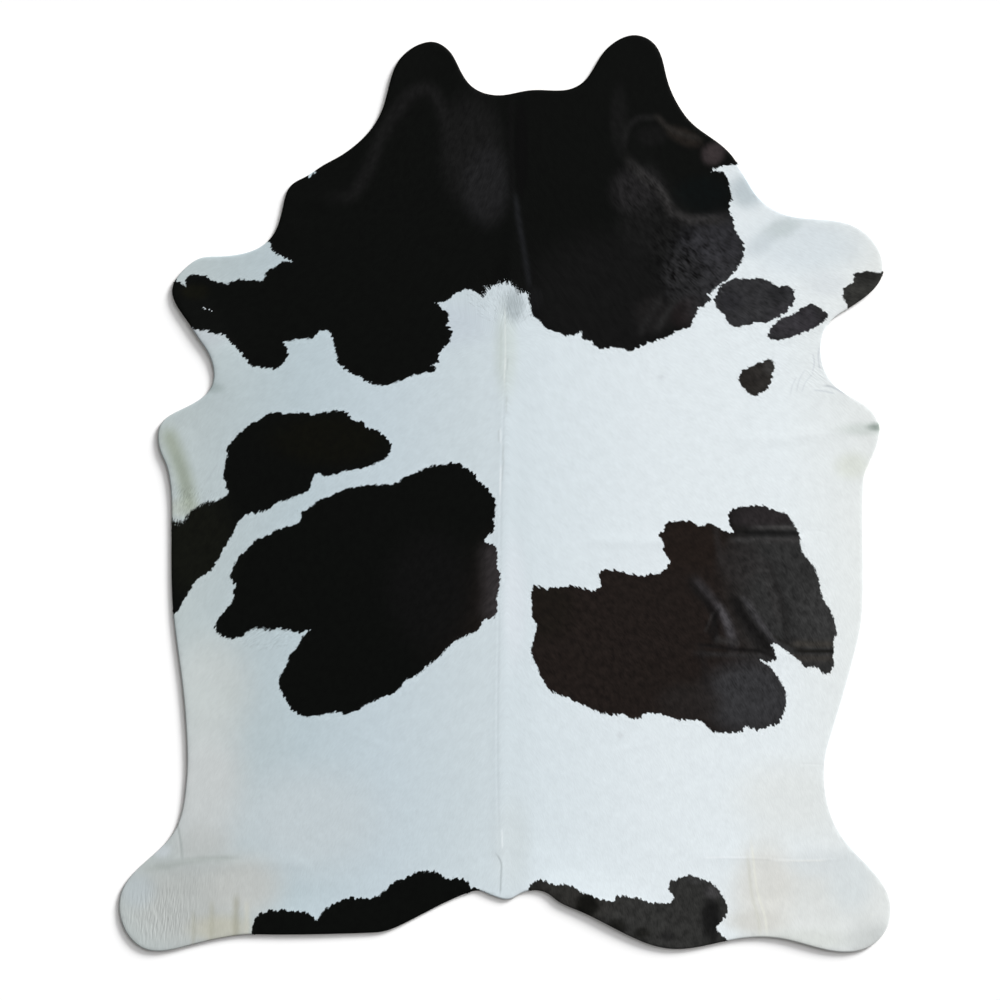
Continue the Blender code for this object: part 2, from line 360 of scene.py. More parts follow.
# The way the hair lies: pixel, and degrees from straight towards the tail, to the right.
HAIR_LIES = [
    (505, 60, 0), (560, 150, 22), (640, 120, 35), (700, 200, 55), (800, 230, 75), (870, 280, 80),
    (560, 300, 28), (640, 330, 40), (745, 300, 84), (760, 380, 60), (860, 400, 60), (860, 470, 40),
    (600, 450, 35), (720, 450, 50), (560, 600, 28), (680, 600, 42), (800, 600, 35), (840, 560, 20),
    (560, 780, 22), (680, 780, 30), (800, 780, 20), (600, 900, 15), (700, 900, 12), (850, 900, 20),
    (450, 150, -22), (380, 150, -38), (300, 220, -58), (200, 300, -75), (450, 310, -62), (440, 350, -85),
    (375, 425, -78), (290, 690, -72), (245, 636, -80), (268, 629, -80), (288, 622, -80), (350, 350, -42),
    (250, 350, -60), (450, 450, -30), (330, 470, -48), (230, 450, -45), (180, 500, -8), (200, 514, -5),
    (176, 520, 0), (180, 600, -8), (450, 600, -28), (330, 600, -42), (230, 640, -30), (450, 780, -22),
    (330, 780, -30), (220, 780, -15), (400, 900, -14), (300, 900, -10), (160, 910, -5),
]

# At this point of the withers the hair parts, and above it grows up and out: pixel and reach.
WHORL = (505, 348, 95)
WHORL_CORE = 0.6  # share of the reach over which it counts fully
WHORL_PULL = 3  # how much it counts against the lies above
WHORL_FOCUS = 1.5  # how closely it keeps to straight up the neck
# Where the hair is longer: pixel, reach across and along, and how much longer.
LONG_HAIR = [(507, 294, 38, 32, 1.3), (194, 511, 46, 26, 1.6), (268, 630, 32, 18, 1.5)]

# Creases and small ridges of the coat: name, height and half width in millimetres, and crest.
CREASES = [
    ("withers crest", 0.15, 12, [(499, 296), (499, 340), (498, 384)]),
    ("spine parting", -0.18, 5, [(507, 306), (506, 350), (502, 450), (499, 600), (497, 750), (500, 894)]),
    ("left hock", -0.14, 7, [(148, 858), (156, 867), (170, 862), (190, 859), (216, 858), (250, 860)]),
    ("left hock end", -0.2, 5, [(175, 814), (178, 830), (180, 845), (180, 862)]),
    ("right hock", 0.15, 5, [(704, 858), (750, 858), (790, 860), (850, 859)]),
    ("rump line", -0.15, 4, [(798, 764), (812, 764), (826, 765)]),
    ("flank line", -0.12, 5, [(805, 532), (818, 531), (830, 535)]),
    ("shoulder line", -0.08, 9, [(745, 435), (790, 433), (830, 431), (866, 430)]),
    ("elbow line", -0.15, 4, [(816, 389), (826, 387), (836, 387)]),
    ("leg fold", -0.12, 8, [(193, 908), (194, 926), (193, 952)]),
    ("second leg fold", -0.16, 10, [(212, 898), (212, 920), (210, 952)]),
    ("third leg fold", -0.24, 12, [(237, 892), (236, 916), (236, 950)]),
    ("flank fold top", 0.3, 7, [(738, 528), (770, 528), (804, 528)]),
    ("flank fold", -0.5, 7, [(730, 533), (770, 533), (806, 533)]),
    ("flank fold foot", 0.3, 7, [(740, 540), (775, 540), (808, 541)]),
    ("flank ridge", 0.5, 20, [(690, 572), (707, 594), (717, 608), (727, 626), (731, 650)]),
    ("flank ridge foot", -0.4, 14, [(690, 586), (706, 604), (714, 620), (715, 648)]),
    ("second flank ridge", 0.42, 16, [(742, 594), (758, 618), (767, 632), (777, 648)]),
    ("second ridge foot", -0.5, 16, [(732, 600), (746, 621), (758, 637), (772, 658)]),
    ("flank hollow", -0.35, 16, [(768, 560), (780, 600), (786, 640)]),
    ("loin crease", -0.32, 8, [(696, 644), (735, 649), (774, 657)]),
    ("loin crease lip", 0.2, 7, [(696, 653), (730, 655), (764, 657)]),
    ("stifle crease", -0.5, 5, [(795, 649), (815, 650), (834, 651)]),
    ("stifle crease lip", 0.3, 6, [(802, 645), (818, 645), (833, 646)]),
    ("neck ridge", 0.5, 14, [(622, 150), (634, 168), (645, 178), (656, 187), (664, 198), (671, 211),
                             (684, 219), (700, 221), (734, 220)]),
]

# The borders of the black patches. Where a patch runs off the hide, so does its border.
NECK_PATCH = [
    (166, 276), (158, 300), (172, 331), (191, 328), (199, 331), (206, 331), (215, 334), (226, 336),
    (231, 343), (238, 350), (245, 359), (254, 366), (265, 368.5), (279, 368), (285, 361), (288, 356),
    (286.5, 346), (283, 342.5), (291, 341), (302, 338.5), (312, 338.5), (319, 332), (327, 330.5),
    (332, 337), (334, 347), (336, 358), (343, 367), (354, 374), (364, 380), (376, 385), (390, 384.5),
    (402, 380), (414, 375.5), (426, 373), (435, 371.5), (437.5, 368), (432, 366), (439, 361.5),
    (438.5, 357), (443, 349), (450, 341.5), (451.5, 331), (447.5, 326), (449, 320), (446, 311),
    (442, 308), (436, 303), (444, 302.5), (451, 297), (459, 291.5), (470, 290), (478, 293.5), (482, 296),
    (486, 289), (494, 287), (501, 285.5), (508, 283.5), (513, 287), (519, 292.5), (526, 293.5),
    (529, 305), (532, 317), (540, 321.5), (545, 328), (556, 331.5), (566, 335.5), (576, 333.5),
    (581, 332), (583, 338.5), (591, 341), (596, 347.5), (608, 348.5), (620, 347.5), (630, 351.5),
    (640, 346.5), (654, 341.5), (666, 337.5), (676, 331.5), (686, 328), (691, 326), (695, 318),
    (698, 309), (705, 305), (710, 300), (709, 293), (717.3, 288), (723.3, 282.4), (731, 276), (737, 268.5),
    (741.5, 261), (744, 253.5), (744.5, 246.5), (741, 240), (735.5, 231), (733, 220), (729, 209), (732, 197),
    (729, 185), (726, 176), (721, 171.5), (711, 172), (718, 167.5), (727, 165), (738, 165), (752, 160),
    (770, 100), (700, 10), (580, 5), (500, 40), (420, 5), (330, 90),
    (316.5, 164), (315, 171), (314, 173.6), (312, 175), (310.8, 177.4), (309, 176.4), (306, 170), (268, 170),
    (260, 232), (269, 242),
    (272, 250), (279, 255), (293, 262), (284, 261.5), (275, 267), (267, 271), (262, 281), (252, 280),
    (237, 280), (227, 284), (216, 281.5), (203, 275.5), (191, 275), (185, 280), (186.5, 287), (180, 282),
    (172, 277),
]
RIGHT_SHOULDER_SPOT = [
    (714.5, 298), (719, 289), (727.5, 281.5), (738, 278.5), (750, 279), (761, 278.5), (772, 282.5),
    (779, 287), (788, 286), (794, 292), (794, 301), (788, 310), (778, 317), (766, 322), (752, 323.5),
    (744, 326), (733, 326.5), (727, 321.5), (724, 315.5), (718, 310), (714.5, 304),
]
RIGHT_FORE_LEG_SPOT = [
    (767, 336), (771, 328), (782, 318), (793, 314), (803, 308), (811, 303.5), (818, 307), (823, 310.5),
    (827, 316), (820, 324), (808, 331), (795, 335.5), (779, 340), (770, 339),
]
RIGHT_FORE_LEG_TIP = [
    (852, 275), (860, 272), (870, 271), (879, 272.5), (892, 270), (888, 296), (866, 316), (848, 318),
    (847, 308), (845, 301), (842, 295), (845, 287), (852, 283), (854, 278),
]
RIGHT_ELBOW_SPOT = [
    (738, 376), (744, 370), (753, 365.5), (762, 361.5), (772, 360), (775, 367), (772, 376), (768, 388),
    (762, 392.5), (753, 396), (746, 391), (740, 383),
]
LEFT_SHOULDER_PATCH = [
    (228, 494), (225, 482), (224, 472), (227, 456), (228, 446), (234, 440), (241, 432), (251, 424),
    (262, 418), (272, 412.5), (287, 414), (300, 412), (314, 414.5), (327, 412), (346, 411), (353, 420),
    (362, 421.5), (367, 427.5), (374, 429), (382, 434), (390, 442), (390.5, 451), (386, 458), (376, 463),
    (366, 467.5), (350, 470), (337, 474), (324, 476), (317, 473), (313, 480), (309, 490), (300, 495),
    (288, 499.5), (277, 503.5), (266, 510), (253, 513.5), (244, 516), (239, 521), (234, 532), (225, 547),
    (217, 561), (211, 570), (200, 578), (192, 587), (184, 601), (177, 612), (168, 616), (156, 600),
    (156, 530), (164, 518), (172, 519), (180, 521.5), (186, 517), (191, 512), (201, 504), (209, 502),
    (219, 499.5),
]
LEFT_SIDE_PATCH = [
    (299, 523), (301, 513), (309, 508.5), (318, 501), (330, 496), (343, 490), (357, 486.5), (372, 484.5),
    (386, 484.5), (397, 483), (404, 477.5), (417, 472), (428, 467), (442, 464.5), (456, 463), (466, 468),
    (474, 474), (479, 481), (488, 489), (495, 499), (495.5, 511), (494, 520), (494, 529), (489, 535),
    (484, 541), (494, 545), (497.5, 555), (497, 566), (500, 575), (499, 586), (497, 598), (497, 612),
    (490, 619), (485, 619), (480, 628), (472, 633.5), (462, 636.5), (455, 641), (446, 649.5), (438, 658),
    (427, 666), (417, 675.5), (406, 680), (398, 690), (386, 696.5), (375, 700.5), (364, 706), (354, 712),
    (345, 714), (338, 711.5), (328, 714), (315, 715.5), (303, 717), (295, 711.5), (289, 706), (286, 700),
    (283, 694), (280, 687), (279, 679), (283, 672), (287, 664), (290, 655), (296, 648), (300, 641),
    (305, 634), (310, 629.5), (300, 632.5), (290, 630.5), (280, 629), (268, 630), (257, 628), (250, 630),
    (242, 636), (230, 638.5), (219, 634), (215, 628), (218, 619), (227, 608), (234, 598), (232, 592),
    (235, 587), (231, 577), (233, 568), (239, 557), (247, 549.5), (256, 540), (266, 536), (277, 530),
    (288, 526),
]
RIGHT_SIDE_PATCH = [
    (532, 603), (531, 595), (535, 585), (543, 588.5), (555, 588), (571, 586), (585, 588.5), (597, 589.5),
    (601, 586), (599, 576), (602, 570.5), (612, 570), (627, 573), (640, 575.5), (652, 574), (664, 571),
    (669, 561), (663, 549), (663, 541), (659, 535), (665, 530), (665, 524), (678, 520.5), (690, 521),
    (698, 525), (708, 524), (717, 527), (726, 531.5), (733, 532), (729, 523), (729, 513), (735, 508.5),
    (749, 506), (763, 506), (776, 511), (785, 513), (793, 523), (800, 538), (800, 548), (808, 560),
    (814, 568), (819, 582), (822, 597), (830, 610), (834, 622), (836, 632), (834, 643), (833, 656),
    (832, 668), (827, 674), (815, 668), (804, 666), (797, 658), (786, 652), (779, 645.5), (771, 645),
    (775, 652), (775, 660), (769, 662), (761, 660.5), (768, 665.5), (776, 675), (783, 686), (786, 698),
    (784, 712), (778, 723), (766, 727), (757, 730), (744, 725.5), (741, 731), (727, 733), (712, 731),
    (704, 723), (695, 719.5), (680, 720), (664, 715), (648, 713), (635, 719), (623, 714), (610, 715),
    (597, 711), (582, 704), (566, 697), (554, 693), (543, 681), (536, 665), (531, 652), (534, 638),
    (537, 627), (532, 616),
]
LEFT_RUMP_PATCH = [
    (253, 944), (253.5, 924), (258, 915), (266, 911), (276, 910), (290, 910), (303, 911), (312, 915),
    (316.5, 919), (325, 909.5), (337, 902), (352, 897.5), (370, 898.5), (382, 893), (391, 884), (404, 878),
    (420, 871.5), (437, 872), (446, 878), (456, 877.5), (466, 880), (471, 887), (482, 889), (488, 900),
    (462, 922), (400, 955), (330, 965), (262, 958),
]
RIGHT_RUMP_PATCH = [
    (528, 889), (533, 882), (543, 879.5), (553, 885), (562, 883.5), (573, 886.5), (587, 894), (602, 899),
    (612, 900.5), (616, 896.5), (632, 896.5), (648, 901), (662, 902.5), (670, 902.5), (673, 896),
    (668, 887.5), (671, 881), (681, 877), (690, 875), (703, 879.5), (713, 883.5), (720, 892), (727, 907),
    (727, 913), (723, 919), (716, 926), (720, 933), (728, 941), (730, 958), (690, 966), (640, 960),
    (580, 935), (545, 912), (530, 902),
]
BLACK_PATCHES = [
    NECK_PATCH, RIGHT_SHOULDER_SPOT, RIGHT_FORE_LEG_SPOT, RIGHT_FORE_LEG_TIP, RIGHT_ELBOW_SPOT,
    LEFT_SHOULDER_PATCH, LEFT_SIDE_PATCH, RIGHT_SIDE_PATCH, LEFT_RUMP_PATCH, RIGHT_RUMP_PATCH,
]

# Painted shade and sheen of the white hair: darker and cooler on the left flank and lighter on the right, as
# the light from the upper right and the hair's sheen fall. Pixel and colour.
WHITE_PAINTED_SHEEN_ACROSS = [
    (150, "#b3bcbc"), (300, "#b8c6cc"), (380, "#c1ced5"), (470, "#c9d4d9"), (540, "#d6e0e5"),
    (650, "#dfe7eb"), (780, "#e4ebee"), (870, "#e6eae9"),
]
BLACK = "#0f100f"
HAIR_SHEEN = 0.0035  # linear light that gloss adds to the lying hair, which its shades leave out
DARKEST = 0.0005  # linear light that no shade goes below

# Soft stains and tone, and painted shade of folds and of the light across the hide: pixel, reach across and
# along in pixels, turn in degrees, colour, strength.
WHITE_STAINS_AND_PAINTED_SHADE_OVALS = [
    (205, 790, 60, 110, 0, "#c4c8c8", 0.9),
    (310, 820, 110, 80, 0, "#c3ccd0", 0.8),
    (200, 842, 44, 26, 0, "#babebd", 0.7),
    (185, 905, 100, 74, 0, "#b4b8b6", 1.0),
    (245, 885, 55, 45, 0, "#bfc1be", 0.8),
    (138, 890, 26, 26, 0, "#b3bcc0", 0.7),
    (222, 928, 46, 20, 0, "#bab9ab", 0.8),
    (163, 851, 13, 9, -20, "#c6cdd2", 0.7),
    (210, 690, 60, 80, 0, "#c1c7c6", 0.8),
    (200, 320, 50, 45, 0, "#b4babf", 0.8),
    (215, 388, 14, 8, 0, "#98a4a4", 0.7),
    (182, 508, 26, 14, 0, "#b4bbb2", 0.7),
    (450, 325, 60, 34, 0, "#c2ccd4", 0.8),
    (512, 845, 28, 70, 0, "#ced7da", 0.8),
    (506, 352, 17, 66, 0, "#c8d2cf", 0.7),
    (514, 306, 15, 24, 0, "#a9b3b7", 0.9),
    (515, 600, 18, 90, 0, "#d9e0e6", 0.7),
    (790, 800, 80, 60, 0, "#e0e4e3", 0.8),
    (800, 905, 110, 62, 0, "#d7dad8", 0.9),
    (765, 885, 44, 70, 0, "#d8d8d3", 0.8),
    (850, 880, 36, 50, 0, "#d8dfe1", 0.8),
    (800, 940, 84, 18, 0, "#cdd1cd", 0.8),
    (875, 945, 50, 34, 0, "#c6cac9", 0.9),
    (805, 246, 90, 46, 0, "#d6dfe4", 0.8),
    (747, 191, 28, 26, 0, "#b9c4c9", 0.9),
    (782, 228, 30, 14, -20, "#c1cbcd", 0.8),
    (760, 245, 26, 14, -30, "#c9d2d7", 0.7),
    (825, 284, 34, 20, 0, "#d4dade", 0.6),
    (864, 429, 38, 10, 0, "#c9d1cd", 0.65),
    (877, 427, 15, 6, 0, "#98a39d", 0.95),
    (757, 921, 42, 18, 0, "#cfcfca", 0.8),
    (820, 862, 44, 22, 0, "#d6dcde", 0.7),
    (852, 466, 26, 20, 0, "#d8ddd2", 0.6),
    (661, 377, 5, 4, 0, "#c4cace", 0.5),
    (620, 735, 5, 5, 0, "#c6ccd0", 0.5),
]
# Painted sheen of the black hair: greyer and browner where the light catches it, on the neck, the right side
# and the rump, with darker tone between.
BLACK_TONE_AND_PAINTED_SHEEN_OVALS = [
    (472, 150, 42, 76, 0, "#1a1a1a", 0.9),
    (487, 186, 32, 52, 0, "#212122", 0.85),
    (521, 148, 9, 66, 0, "#0a0a0a", 0.9),
    (536, 300, 9, 16, 0, "#1e1e20", 0.7),
    (606, 300, 110, 90, 0, "#161616", 0.9),
    (619, 120, 12, 46, 0, "#191919", 0.7),
    (638, 192, 36, 34, 25, "#242324", 0.9),
    (652, 228, 46, 40, 0, "#1a1a1a", 0.8),
    (724, 252, 62, 48, 0, "#2c2c2f", 1.0),
    (684, 278, 30, 40, 0, "#242425", 0.9),
    (654, 314, 28, 24, 0, "#1f1e1e", 0.8),
    (690, 312, 26, 20, -30, "#241f1f", 0.8),
    (702, 194, 38, 25, 0, "#0e1111", 1.0),
    (652, 136, 22, 14, 0, "#161616", 0.8),
    (684, 137, 26, 11, 25, "#25211e", 0.8),
    (713, 154, 16, 14, -40, "#383233", 1.0),
    (195, 292, 20, 11, 0, "#14140f", 0.8),
    (330, 440, 80, 34, 0, "#12120e", 0.8),
    (200, 545, 50, 75, 0, "#161713", 0.8),
    (640, 640, 240, 170, 0, "#221d1b", 1.0),
    (545, 606, 40, 50, 0, "#1d1a17", 0.8),
    (692, 545, 52, 36, 0, "#231d1a", 0.9),
    (800, 602, 88, 130, -14, "#303030", 1.0),
    (828, 622, 38, 56, -10, "#383838", 0.8),
    (740, 562, 30, 30, 0, "#2d2b2b", 0.6),
    (430, 590, 60, 80, 0, "#131313", 0.8),
    (766, 516, 50, 17, 0, "#2b2829", 1.0),
    (750, 697, 64, 50, 0, "#353537", 1.0),
    (690, 702, 44, 26, 0, "#272423", 0.8),
    (758, 302, 90, 62, 0, "#303032", 1.0),
    (731, 301, 15, 15, 0, "#28282b", 0.7),
    (777, 293, 12, 15, 0, "#242426", 0.7),
    (750, 312, 16, 8, 0, "#38383a", 0.6),
    (797, 322, 36, 24, 0, "#373539", 0.8),
    (757, 378, 44, 40, 0, "#2d2b29", 1.0),
    (745, 381, 12, 16, 0, "#262422", 0.7),
    (769, 368, 8, 10, 0, "#3a3938", 0.6),
    (866, 296, 60, 50, 0, "#343432", 1.0),
    (867, 276, 20, 8, 0, "#242423", 0.8),
    (640, 915, 170, 90, 6, "#30302f", 1.0),
    (575, 900, 60, 30, 0, "#2d2c2a", 0.8),
    (587, 905, 17, 17, 0, "#131311", 0.95),
    (617, 925, 14, 9, 15, "#181816", 0.85),
    (642, 932, 12, 8, 0, "#1a1a18", 0.8),
    (668, 936, 10, 7, 0, "#202020", 0.7),
    (711, 919, 14, 32, 0, "#181818", 0.9),
    (713, 892, 12, 9, 0, "#403f40", 0.8),
    (698, 879, 18, 7, 0, "#3a3a3a", 0.7),
]
SHADE_CORES = {"white": 0.25, "black": 0.4}  # share of a shade's reach over which it is even
LINE_FADE = 0.2  # share of a line's length over which its height or shade comes up at each end

# Painted shadows and highlights along folds, creases and the spine, and the stain on the left flank: half
# width in pixels, colour, strength, line.
WHITE_STAINS_AND_PAINTED_SHADE_LINES = [
    (1.4, "#dde4e2", 0.6, [(505, 300), (505, 326), (505.5, 350), (504.5, 372), (505, 396)]),
    (2.4, "#bcc6c3", 0.4, [(501, 318), (501, 345), (500, 376)]),
    (16, "#98a194", 0.9, [(162, 420), (171, 440), (178, 458), (184, 476), (188, 494), (192, 522)]),
    (7, "#8b948a", 0.6, [(174, 450), (181, 468), (186, 484), (188, 504)]),
    (1.3, "#a9b2b6", 0.5, [(204, 486), (210, 476), (218, 463)]),
    (1.8, "#bac0c6", 0.7, [(822, 385), (831, 387), (838, 390), (846, 395)]),
    (1.6, "#c6cdd3", 0.6, [(812, 390), (822, 391), (836, 394)]),
    (1.5, "#c6ccd3", 0.6, [(819, 346), (818, 358), (820, 372)]),
    (1.5, "#cad0d6", 0.6, [(812, 352), (814, 362), (812, 374)]),
    (1.4, "#ccd3d8", 0.5, [(806, 368), (799, 380), (796, 394)]),
    (1.4, "#ccd3d8", 0.5, [(814, 372), (805, 383), (801, 394)]),
    (1.4, "#ced5da", 0.5, [(797, 376), (792, 386), (790, 396)]),
    (2.4, "#e4e5db", 0.6, [(750, 834), (753, 857), (757, 890), (765, 918), (767, 944)]),
    (3, "#cbccc2", 0.5, [(746, 846), (749, 870), (752, 896), (758, 918), (760, 944)]),
    (1.8, "#ebeeec", 0.7, [(766, 860), (795, 860.5), (830, 860)]),
    (1.6, "#e8edf0", 0.6, [(700, 857.5), (726, 857), (750, 857.5)]),
    (6, "#a3aaa7", 0.6, [(140, 872), (156, 867), (168, 866), (182, 862), (202, 859), (246, 858)]),
    (2.4, "#a6adac", 0.7, [(175, 812), (179, 830), (182, 848), (183, 866)]),
    (4, "#a3a498", 0.45, [(193, 908), (194, 926), (193, 952)]),
    (5, "#a6a697", 0.45, [(212, 896), (212, 920), (210, 956)]),
    (6, "#9c9b8c", 0.6, [(237, 890), (236, 914), (236, 956)]),
    (5, "#c6c5b8", 0.5, [(247, 896), (247, 920), (246, 956)]),
    (1.6, "#a8b1b4", 0.8, [(494, 850), (501, 862), (501, 876), (500, 898)]),
    (1.4, "#e6edf0", 0.7, [(502, 828), (502.5, 850)]),
    (1.4, "#b6bfbf", 0.6, [(508, 357), (507, 371)]),
    (1.4, "#e2e9e8", 0.6, [(505.8, 357), (505, 371)]),
    (1.4, "#bfc8c9", 0.6, [(507, 394), (506, 414)]),
    (1.4, "#c0c8ca", 0.6, [(498.5, 428), (498.5, 444)]),
    (1.4, "#e4ebee", 0.6, [(500.5, 427), (501, 445)]),
    (1.4, "#c3cccd", 0.6, [(503.5, 444), (502.5, 462)]),
    (1.4, "#bcc5c7", 0.6, [(504, 456), (502, 482)]),
    (1.6, "#e8eef1", 0.6, [(501, 462), (500, 500)]),
]
# Painted sheen on the ridges and painted shadow in the valleys of the neck's and the flank's folds.
BLACK_PAINTED_SHEEN_AND_SHADE_LINES = [
    (12, "#1a1a1a", 0.85, [(312, 195), (330, 198), (350, 196), (364, 178), (381, 137), (398, 110), (414, 92),
                          (431, 90), (441, 107), (451, 137), (458, 170)]),
    (5, "#121212", 1.0, [(511, 88), (511, 140), (512, 204)]),
    (5, "#1e1f21", 0.9, [(514, 186), (519, 222), (524, 250), (531, 296)]),
    (9, "#2e2d2d", 0.9, [(622, 148), (634, 168), (645, 178), (656, 187), (664, 198), (671, 211), (684, 219),
                         (700, 220), (740, 219)]),
    (6, "#1c1c1c", 0.8, [(622, 156), (627, 130), (638, 119), (664, 119)]),
    (5, "#2b2927", 0.8, [(650, 114), (658, 118), (665, 125), (674, 131), (690, 137), (706, 140)]),
    (7, "#252525", 0.6, [(636, 340), (650, 316), (664, 292)]),
    (6, "#282828", 0.6, [(654, 336), (666, 314), (680, 292)]),
    (24, "#343132", 1.0, [(495, 536), (496, 570), (497, 598), (492, 628)]),
    (9, "#353335", 0.85, [(688, 572), (700, 586), (708, 595), (718, 608), (727, 624), (732, 638),
                          (732, 660)]),
    (6, "#4d4b4e", 0.8, [(716, 602), (723, 614), (728, 625), (731, 640)]),
    (7, "#191818", 0.8, [(684, 576), (697, 592), (707, 603), (714, 616), (716, 632), (712, 654)]),
    (3, "#323131", 0.45, [(714, 610), (709, 622), (704, 634)]),
    (4, "#171717", 0.7, [(720, 604), (714, 620), (708, 638)]),
    (6, "#403f41", 0.85, [(738, 592), (749, 606), (758, 620), (766, 631), (773, 641), (780, 652)]),
    (12, "#161515", 0.9, [(728, 590), (739, 609), (747, 623), (757, 635), (767, 647), (778, 662)]),
    (8, "#232222", 0.7, [(762, 550), (772, 575), (780, 600), (785, 624), (787, 654)]),
    (7, "#353434", 0.7, [(756, 548), (767, 575), (774, 600), (779, 630)]),
    (6, "#302e2e", 0.5, [(715, 522), (718, 545), (722, 570)]),
    (4, "#424141", 0.8, [(748, 527.5), (780, 527.5), (816, 528.5)]),
    (4.5, "#161616", 0.85, [(734, 533), (775, 533.5), (816, 534)]),
    (5, "#3a3939", 0.85, [(724, 540), (775, 540.5), (816, 541)]),
    (3.5, "#171616", 0.8, [(688, 643), (712, 646), (735, 649.5), (760, 651), (782, 662)]),
    (7, "#343333", 0.6, [(712, 639), (726, 641), (742, 644)]),
    (5, "#2e2d2d", 0.7, [(688, 653), (730, 655), (772, 657)]),
    (7, "#1f1d1d", 0.6, [(699, 640), (705, 668), (708, 698)]),
    (3.5, "#181715", 0.95, [(788, 650), (810, 651), (852, 651)]),
    (3, "#201f1d", 0.7, [(768, 632), (782, 641), (795, 647), (808, 652)]),
    (6, "#3c3935", 0.8, [(786, 643), (815, 644), (850, 644)]),
    (6, "#3b3835", 0.8, [(782, 657), (815, 658), (850, 659)]),
]

# How much the locks stand out as painted sheen, streaks and mottling that lighten and darken the colour, all
# over and in soft ovals: pixel, reach in pixels, strength.
LUSTRE = 0.22
LUSTRE_CORE = 0.3  # share of an oval's reach over which it is even
LUSTRE_SHADES = [
    (640, 910, 130, 66, 0.28), (800, 320, 120, 90, 0.32), (770, 620, 100, 120, 0.32),
    (600, 650, 130, 100, 0.3), (700, 262, 54, 66, 0.5), (674, 262, 40, 54, 0.6), (645, 200, 50, 50, 0.5),
    (440, 150, 130, 110, 0.3), (512, 306, 22, 34, 0.8), (505, 412, 9, 100, 0.4), (186, 500, 26, 22, 0.9),
]
# Where the thin skin is drawn together in short wrinkles along the hair, in the same columns.
WRINKLED = [(160, 916, 60, 48, 1.0), (200, 880, 60, 26, 0.3), (818, 374, 24, 26, 0.35)]


def placed(pixels):
    """Places on the floor for pixels of the photograph, which looks straight down."""
    return (np.asarray(pixels, float) - MIDDLE_PX) * (PIXEL, -PIXEL)


def pixels_of(places):
    """Pixels of the photograph for places on the floor."""
    return places / (PIXEL, -PIXEL) + MIDDLE_PX


def bell(share):
    """Falls smoothly from 1 at 0 and before to 0 at 1 and beyond."""
    return 0.5 + 0.5 * np.cos(np.pi * np.clip(share, 0, 1))


def shade_weight(pixels, x, y, wide, long, turn=0, core=0):
    """How much a soft oval shade counts at each pixel. It counts fully over its core."""
    turn = math.radians(turn)
    right, down = (pixels - (x, y)).T
    u = (right * math.cos(turn) + down * math.sin(turn)) / wide
    v = (down * math.cos(turn) - right * math.sin(turn)) / long
    return bell((np.hypot(u, v) - core) / (1 - core))


def line_weight(places, line, reach):
    """How much something soft along a line counts at each place. It fades out at the line's ends."""
    low, high = line.min(axis=0) - reach, line.max(axis=0) + reach
    near = np.flatnonzero(((places > low) & (places < high)).all(axis=1))
    gap, number = gap_to(places[near], line, closed=False)
    from_end = np.minimum(number, len(line) - 1 - number) / len(line)
    weight = np.zeros(len(places))
    weight[near] = bell(gap / reach) * (1 - bell(from_end / LINE_FADE))
    return weight


def surface_with_slopes(slope_x, slope_y, step, side):
    """The surface whose slopes, turned round where side is -1, come nearest to the given ones."""
    east = side[:, :-1] * (slope_x[:, :-1] + slope_x[:, 1:]) / (2 * step)
    north = side[:-1] * (slope_y[:-1] + slope_y[1:]) / (2 * step)
    source = np.zeros_like(slope_x)
    source[:, :-1] += east
    source[:, 1:] -= east
    source[:-1] += north
    source[1:] -= north
    mirrored = np.block([[source, source[:, ::-1]], [source[::-1], source[::-1, ::-1]]])
    bends = [2 - 2 * np.cos(2 * np.pi * np.arange(count) / count) for count in mirrored.shape]
    stiffness = bends[0][:, None] + bends[1][None]
    stiffness[0, 0] = 1
    solved = np.fft.ifft2(-np.fft.fft2(mirrored) / stiffness).real * step**2
    rows, columns = slope_x.shape
    return solved[:rows, :columns]


# The direction of the hair all over the hide, and two measures that follow it in millimetres:
# across the locks, outward from the spine, and along them.
flow_x, flow_y, across, along = (HideMap(FLOW_STEP) for _ in range(4))
grid_pixels = pixels_of(flow_x.places())
lies = np.array(HAIR_LIES, float)
lean = np.radians(lies[:, 2])
apart = ((grid_pixels[:, None] - lies[None, :, :2]) ** 2).sum(axis=2)
weight = np.exp(-(apart - apart.min(axis=1)[:, None]) / (2 * FLOW_REACH**2))
flow = weight @ np.column_stack([np.sin(lean), -np.cos(lean)])
flow /= np.linalg.norm(flow, axis=1)[:, None]
away = (grid_pixels - WHORL[:2]) * (1, -1)
reached = np.linalg.norm(away, axis=1)
away /= np.maximum(reached, TINY)[:, None]
share = bell((reached / WHORL[2] - WHORL_CORE) / (1 - WHORL_CORE)) * np.clip(away[:, 1], 0, 1) ** WHORL_FOCUS
flow += WHORL_PULL * share[:, None] * away
flow /= np.linalg.norm(flow, axis=1)[:, None]
flow_x.values[:], flow_y.values[:] = (flow[:, axis].reshape(flow_x.x.shape) for axis in (0, 1))
left_or_right = np.where(flow_x.x < 0, -1, 1)
up_or_down = np.where(flow_y.values > 0, -1, 1)
across.values = surface_with_slopes(
    abs(flow_y.values), flow_x.values * up_or_down, FLOW_STEP, left_or_right) / MM
along.values = surface_with_slopes(flow_x.values, flow_y.values, FLOW_STEP, np.ones(flow_x.x.shape)) / MM

borders = [smooth_path(placed(border), BORDER_STEP) for border in BLACK_PATCHES]
border_points = np.vstack(borders)
